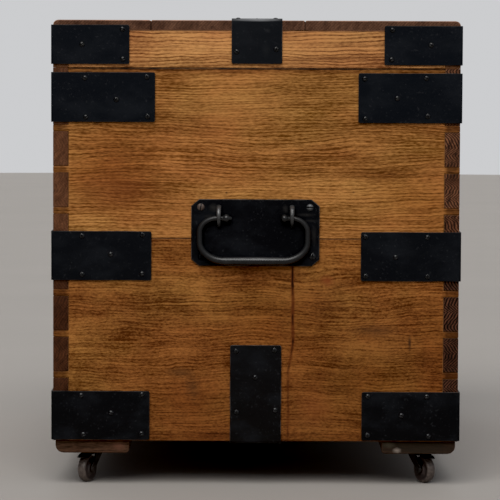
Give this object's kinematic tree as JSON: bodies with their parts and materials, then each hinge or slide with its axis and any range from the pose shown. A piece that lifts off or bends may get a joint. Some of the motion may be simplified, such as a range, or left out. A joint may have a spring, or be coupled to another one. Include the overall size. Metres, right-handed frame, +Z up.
{
  "type": "travelling chest",
  "caption": "Rectangular dovetailed oak chest with iron corner straps, a hinged lid with a shallow rim, a drop handle on a plate at each end and swivel castors on corner blocks.",
  "frame": {"origin": "on the floor, under the middle of the whole chest's box", "axes": "+Z up; +Y along the length, away from the pictured end; +X from the lock side to the hinge side"},
  "size_m": [0.4956, 0.7938, 0.559],
  "materials": {
    "oak": "waxed, worn satin",
    "oak_lid": "waxed, faded satin",
    "oak_dark": "dark aged, dull",
    "iron": "black lacquer, satin",
    "worn_iron": "handled black iron",
    "castor_metal": "rust brown, dull",
    "castor_wheel": "worn brown",
    "hinge_steel": "black, satin"
  },
  "bodies": {
    "case": {"near_end": "oak", "far_end": "oak", "front_board": "oak_dark", "back_board": "oak_dark", "bottom_board": "oak_dark", "top_strap_near_front": "iron", "middle_strap_near_front": "iron", "bottom_strap_near_front": "iron", "block_near_front": "oak_dark", "castor_plate_near_front": "castor_metal", "top_strap_near_back": "iron", "middle_strap_near_back": "iron", "bottom_strap_near_back": "iron", "block_near_back": "oak_dark", "castor_plate_near_back": "castor_metal", "top_strap_far_front": "iron", "middle_strap_far_front": "iron", "bottom_strap_far_front": "iron", "block_far_front": "oak_dark", "castor_plate_far_front": "castor_metal", "top_strap_far_back": "iron", "middle_strap_far_back": "iron", "bottom_strap_far_back": "iron", "block_far_back": "oak_dark", "castor_plate_far_back": "castor_metal", "foot_plate_near": "iron", "handle_plate_near": "iron", "staple_near_left": "worn_iron", "staple_near_right": "worn_iron", "hinge_case_leaf_near": "hinge_steel", "foot_plate_far": "iron", "handle_plate_far": "iron", "staple_far_left": "worn_iron", "staple_far_right": "worn_iron", "hinge_case_leaf_far": "hinge_steel", "lock_case": "hinge_steel"},
    "lid": {"lid_top": "oak_lid", "lid_near_rail": "oak_lid", "lid_far_rail": "oak_lid", "lid_front_rail": "oak_lid", "lid_back_rail": "oak_lid", "lid_strap_near_front": "iron", "lid_strap_near_back": "iron", "lid_strap_far_front": "iron", "lid_strap_far_back": "iron", "lid_plate_near": "iron", "hinge_lid_leaf_near": "hinge_steel", "lid_plate_far": "iron", "hinge_lid_leaf_far": "hinge_steel", "lock_link": "hinge_steel"},
    "bail_near": {"bail_near": "worn_iron"},
    "bail_far": {"bail_far": "worn_iron"},
    "castor_near_front": {"castor_horn_near_front": "castor_metal"},
    "wheel_near_front": {"castor_wheel_near_front": "castor_wheel"},
    "castor_near_back": {"castor_horn_near_back": "castor_metal"},
    "wheel_near_back": {"castor_wheel_near_back": "castor_wheel"},
    "castor_far_front": {"castor_horn_far_front": "castor_metal"},
    "wheel_far_front": {"castor_wheel_far_front": "castor_wheel"},
    "castor_far_back": {"castor_horn_far_back": "castor_metal"},
    "wheel_far_back": {"castor_wheel_far_back": "castor_wheel"}
  },
  "joints": [
    {"name": "lid_hinge", "type": "hinge", "parent": "case", "child": "lid", "pos_m": [0.2436, 0, 0.49855], "axis": [0, 1, 0], "range_deg": [0, 100]},
    {"name": "bail_near_swing", "type": "hinge", "parent": "case", "child": "bail_near", "pos_m": [-0.0034, -0.38875, 0.3208], "axis": [-1, 0, 0], "range_deg": [0, 180]},
    {"name": "bail_far_swing", "type": "hinge", "parent": "case", "child": "bail_far", "pos_m": [-0.0014, 0.38875, 0.3208], "axis": [1, 0, 0], "range_deg": [0, 180]},
    {"name": "castor_near_front_swivel", "type": "hinge", "parent": "case", "child": "castor_near_front", "pos_m": [-0.1974, -0.33, 0.0354], "axis": [0, 0, 1], "continuous": true},
    {"name": "wheel_near_front_spin", "type": "hinge", "parent": "castor_near_front", "child": "wheel_near_front", "pos_m": [-0.20501, -0.34631, 0.01625], "axis": [0.9063, -0.4226, 0], "continuous": true},
    {"name": "castor_near_back_swivel", "type": "hinge", "parent": "case", "child": "castor_near_back", "pos_m": [0.1926, -0.33, 0.0354], "axis": [0, 0, 1], "continuous": true},
    {"name": "wheel_near_back_spin", "type": "hinge", "parent": "castor_near_back", "child": "wheel_near_back", "pos_m": [0.20187, -0.34543, 0.01625], "axis": [0.8572, 0.515, 0], "continuous": true},
    {"name": "castor_far_front_swivel", "type": "hinge", "parent": "case", "child": "castor_far_front", "pos_m": [-0.1974, 0.33, 0.0354], "axis": [0, 0, 1], "continuous": true},
    {"name": "wheel_far_front_spin", "type": "hinge", "parent": "castor_far_front", "child": "wheel_far_front", "pos_m": [-0.21119, 0.34157, 0.01625], "axis": [-0.6428, -0.766, 0], "continuous": true},
    {"name": "castor_far_back_swivel", "type": "hinge", "parent": "case", "child": "castor_far_back", "pos_m": [0.1926, 0.33, 0.0354], "axis": [0, 0, 1], "continuous": true},
    {"name": "wheel_far_back_spin", "type": "hinge", "parent": "castor_far_back", "child": "wheel_far_back", "pos_m": [0.20891, 0.33761, 0.01625], "axis": [-0.4226, 0.9063, 0], "continuous": true}
  ]
}
